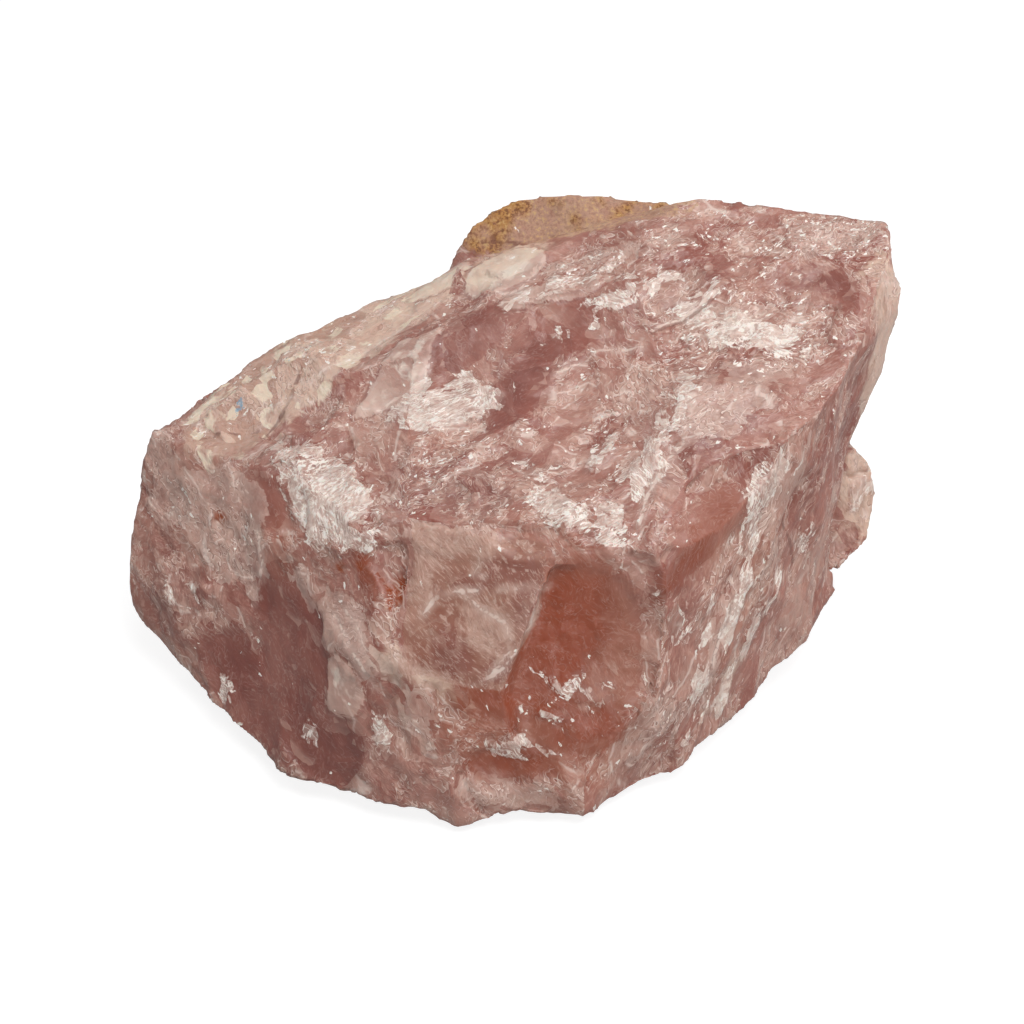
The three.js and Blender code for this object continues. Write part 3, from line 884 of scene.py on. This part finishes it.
def iron_stain(n, colour):
    """Rusty ochre, speckled with brown and yellow, and a fleck of blue dirt."""
    n.rust = n.patch("rust", -0.5, 0.7, 0.5)
    specks = n.noise(n.place, 0.8, 2, 0.7)
    patchy = n.field("patchy")
    worn = n.ramp(n.math("MULTIPLY_ADD", n.math("SUBTRACT", n.blotchy, 0.5), 30.0, n.field("weathered")), -1.0, 7.0, 0, 0.55)
    colour = n.blend(worn, colour, paint(176, 138, 112))
    orange = n.ramp(n.math("MULTIPLY_ADD", n.math("SUBTRACT", patchy, 0.5), 22.0, n.field("orange")), -2.0, 2.5)
    stain = n.blend(n.ramp(patchy, 0.4, 0.6), paint(184, 144, 122), paint(198, 160, 134))
    stain = n.blend(orange, stain, paint(180, 130, 72))
    stain = n.blend(n.math("MULTIPLY", n.ramp(specks, 0.52, 0.58), n.ramp(orange, 0.0, 1.0, 0.3, 0.85)), stain,
                    paint(118, 70, 38))
    stain = n.blend(n.ramp(specks, 0.44, 0.36, 0, 0.6), stain, paint(212, 176, 118))
    colour = n.blend(n.math("MULTIPLY", n.rust, n.ramp(n.mottled, 0.25, 0.6, 0.65, 0.97)), colour, stain)
    blue = n.ramp(n.math("MULTIPLY_ADD", n.math("SUBTRACT", specks, 0.5), 4.0, n.field("blue")), 0.0, 0.3, 0, 0.75)
    return n.blend(blue, colour, paint(128, 172, 198))


def shoulder_facets(n, colour):
    """On the cream quartz, painted shade on some of the facets, and a few yellowish crystals."""
    cream = n.patch("shoulder", -0.8, 1.4, 0.8)
    # painted shade on some of the largest facets
    shaded_facets = n.product(cream, n.math("LESS_THAN", n.largest["Chance"], 0.3), 0.5)
    colour = n.blend(shaded_facets, colour, paint(172, 124, 106))
    crystals = n.product(cream, n.math("GREATER_THAN", n.medium["Chance"], 0.72), n.ramp(n.blotchy, 0.42, 0.55), 0.7)
    return n.blend(crystals, colour, paint(244, 228, 204))


def glints(n, colour):
    """Painted glints: bright angular chips and tiny specks, in clusters where the crown is crushed."""
    crown = n.math("SUBTRACT", 1.0, n.math("MULTIPLY", n.math("MAXIMUM", n.left, n.upright), 0.75))
    crown = n.math("MULTIPLY", crown, n.math("SUBTRACT", 1.0, n.math("MULTIPLY", n.rust, 0.8)))
    n.cluster = n.math("MULTIPLY", crown, n.math("MULTIPLY_ADD", n.broken, 0.8, n.math("MULTIPLY_ADD", n.bare, -0.15, 0.15)))
    # painted glints on small chips
    chip_glints = n.math("LESS_THAN", n.small["Chance"], n.math("MULTIPLY_ADD", n.cluster, 0.17, -0.01))
    chip_glints = n.math("MULTIPLY", chip_glints, n.ramp(n.fibres, 0.52, 0.6))
    # tiny painted glints
    speck_glints = n.math("LESS_THAN", n.spark["Chance"], n.math("MULTIPLY_ADD", n.cluster, 0.05, 0.002))
    speck_glints = n.math("MULTIPLY", speck_glints, n.ramp(n.fibres, 0.42, 0.52))
    return n.blend(n.math("MAXIMUM", chip_glints, speck_glints), colour, paint(248, 238, 229))


def leaning_normal(n):
    """Each flake leans its own way, fibres are ribbed, and the smallest flakes sparkle."""
    lean = n.vector("SCALE", n.spark["Lean"], n.math("MULTIPLY_ADD", n.cluster, 0.5, 0.05))
    for layer, slope in ((n.small, 0.14), (n.medium, 0.12), (n.large, 0.12)):
        lean = n.vector("MULTIPLY_ADD", layer["Lean"], (slope,) * 3, lean)
    ribs = n.math("MULTIPLY", n.math("SUBTRACT", n.fibres, 0.5), n.math("MULTIPLY_ADD", n.bare, -1.1, 1.4))
    lean = n.vector("ADD", lean, n.vector("SCALE", n.across, ribs))
    flat = n.add("ShaderNodeNewGeometry").outputs["Normal"]
    return n.vector("NORMALIZE", n.vector("ADD", flat, lean))


def rose_quartz():
    """Cloudy rose quartz: pink depths, white cracked flakes, cream and rusty places, and painted glints, highlights
    and shade.
    """
    material = bpy.data.materials.new("rose_quartz")
    material.use_nodes = True
    material.node_tree.nodes.clear()
    n = QuartzNodes(material.node_tree)
    lay_flakes(n)
    comb_fibres(n)
    colour = body_colour(n)
    colour = milky_layers(n, colour)
    colour = deep_hollows(n, colour)
    colour = fibrous(n, colour)
    colour = shoulder_facets(n, colour)
    colour = smooth_plates(n, colour)
    colour = white_flakes(n, colour)
    colour = clear_block(n, colour)
    colour = iron_stain(n, colour)
    colour = fine_lines(n, colour)
    colour = glints(n, colour)

    roughness = n.ramp(n.mottled, 0.3, 0.7, 0.34, 0.5)
    roughness = n.math("MULTIPLY_ADD", n.white, 0.08, roughness)
    roughness = n.math("MULTIPLY_ADD", n.rust, 0.35, roughness)

    shader = n.add("ShaderNodeBsdfPrincipled")
    n.feed(shader.inputs["Base Color"], colour)
    n.feed(shader.inputs["Roughness"], roughness)
    n.feed(shader.inputs["Normal"], leaning_normal(n))
    shader.inputs["IOR"].default_value = 1.54
    shader.inputs["Subsurface Weight"].default_value = 0.22
    shader.inputs["Subsurface Radius"].default_value = (1.0, 0.45, 0.35)
    shader.inputs["Subsurface Scale"].default_value = 2.4 * MM
    out = n.add("ShaderNodeOutputMaterial")
    n.feed(out.inputs["Surface"], shader.outputs[0])
    return material


def pale_table():
    """A white table that stays white to the camera, with a faint soft shadow."""
    material = bpy.data.materials.new("pale_table")
    material.use_nodes = True
    tree = material.node_tree
    tree.nodes.clear()
    n = Nodes(tree)
    matt = n.add("ShaderNodeBsdfDiffuse")
    matt.inputs["Color"].default_value = (0.3, 0.3, 0.3, 1)
    glow = n.add("ShaderNodeEmission")
    glow.inputs["Color"].default_value = (1, 1, 1, 1)
    glow.inputs["Strength"].default_value = 0.84
    both = n.add("ShaderNodeAddShader")
    n.feed(both.inputs[0], matt.outputs[0])
    n.feed(both.inputs[1], glow.outputs[0])
    plain = n.add("ShaderNodeBsdfDiffuse")
    plain.inputs["Color"].default_value = (0.5, 0.5, 0.5, 1)
    seen = n.add("ShaderNodeLightPath")
    choice = n.add("ShaderNodeMixShader")
    n.feed(choice.inputs[0], seen.outputs["Is Camera Ray"])
    n.feed(choice.inputs[1], plain.outputs[0])
    n.feed(choice.inputs[2], both.outputs[0])
    out = n.add("ShaderNodeOutputMaterial")
    n.feed(out.inputs["Surface"], choice.outputs[0])
    return material


# ---- the studio -------------------------------------------------------------------------------------

CAMERA_AIM = Vector((1.2, -5.5, 37.0)) * MM
CAMERA_RISE = math.radians(38)
CAMERA_DISTANCE = 345 * MM
CAMERA_LENS = 62


def soft_light(name, place, aim, width, watts, colour=(1, 1, 1)):
    lamp = bpy.data.lights.new(name, "AREA")
    lamp.shape = "DISK"
    lamp.size = width
    lamp.energy = watts
    lamp.color = colour
    holder = bpy.data.objects.new(name, lamp)
    holder.location = place
    holder.rotation_euler = (Vector(aim) - Vector(place)).to_track_quat("-Z", "Y").to_euler()
    bpy.context.scene.collection.objects.link(holder)
    return holder


def studio():
    scene = bpy.context.scene
    scene.view_settings.view_transform = "Standard"
    eye = bpy.data.cameras.new("camera")
    eye.lens = CAMERA_LENS
    eye.sensor_width = 36
    camera = bpy.data.objects.new("camera", eye)
    back = Vector((0, -math.cos(CAMERA_RISE), math.sin(CAMERA_RISE)))
    camera.location = CAMERA_AIM + back * CAMERA_DISTANCE
    camera.rotation_euler = (-back).to_track_quat("-Z", "Y").to_euler()
    scene.collection.objects.link(camera)
    scene.camera = camera

    world = bpy.data.worlds.new("room")
    world.use_nodes = True
    n = Nodes(world.node_tree)
    room = world.node_tree.nodes["Background"]
    room.inputs["Color"].default_value = (1, 1, 1, 1)
    # the walls look white, but light the stone only dimly
    seen = n.add("ShaderNodeLightPath").outputs["Is Camera Ray"]
    n.feed(room.inputs["Strength"], n.math("MULTIPLY_ADD", seen, 0.74, 0.26))
    scene.world = world

    middle = (0, 0, 0.04)
    soft_light("key", (0.12, -0.12, 0.65), middle, 0.4, 2.4)
    soft_light("fill", (0.3, -0.65, 0.3), middle, 0.4, 1.2)
    soft_light("glints", (-0.45, 0.3, 0.45), middle, 0.1, 0.5)
    soft_light("right edge", (0.6, 0.2, 0.35), middle, 0.25, 0.9)

    bpy.ops.mesh.primitive_plane_add(size=8)
    table = bpy.context.object
    table.name = "table"
    table.data.materials.append(pale_table())


def stone():
    mesh = skin_of(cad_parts[NODE])
    carve(mesh)
    mesh.shade_smooth()
    mesh.materials.clear()
    mesh.materials.append(rose_quartz())
    mesh.name = "rough_rose_quartz"
    piece = bpy.data.objects.new("rough_rose_quartz", mesh)
    bpy.context.scene.collection.objects.link(piece)
    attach(piece, "root")
    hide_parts(NODE)
    return piece


studio()
stone()
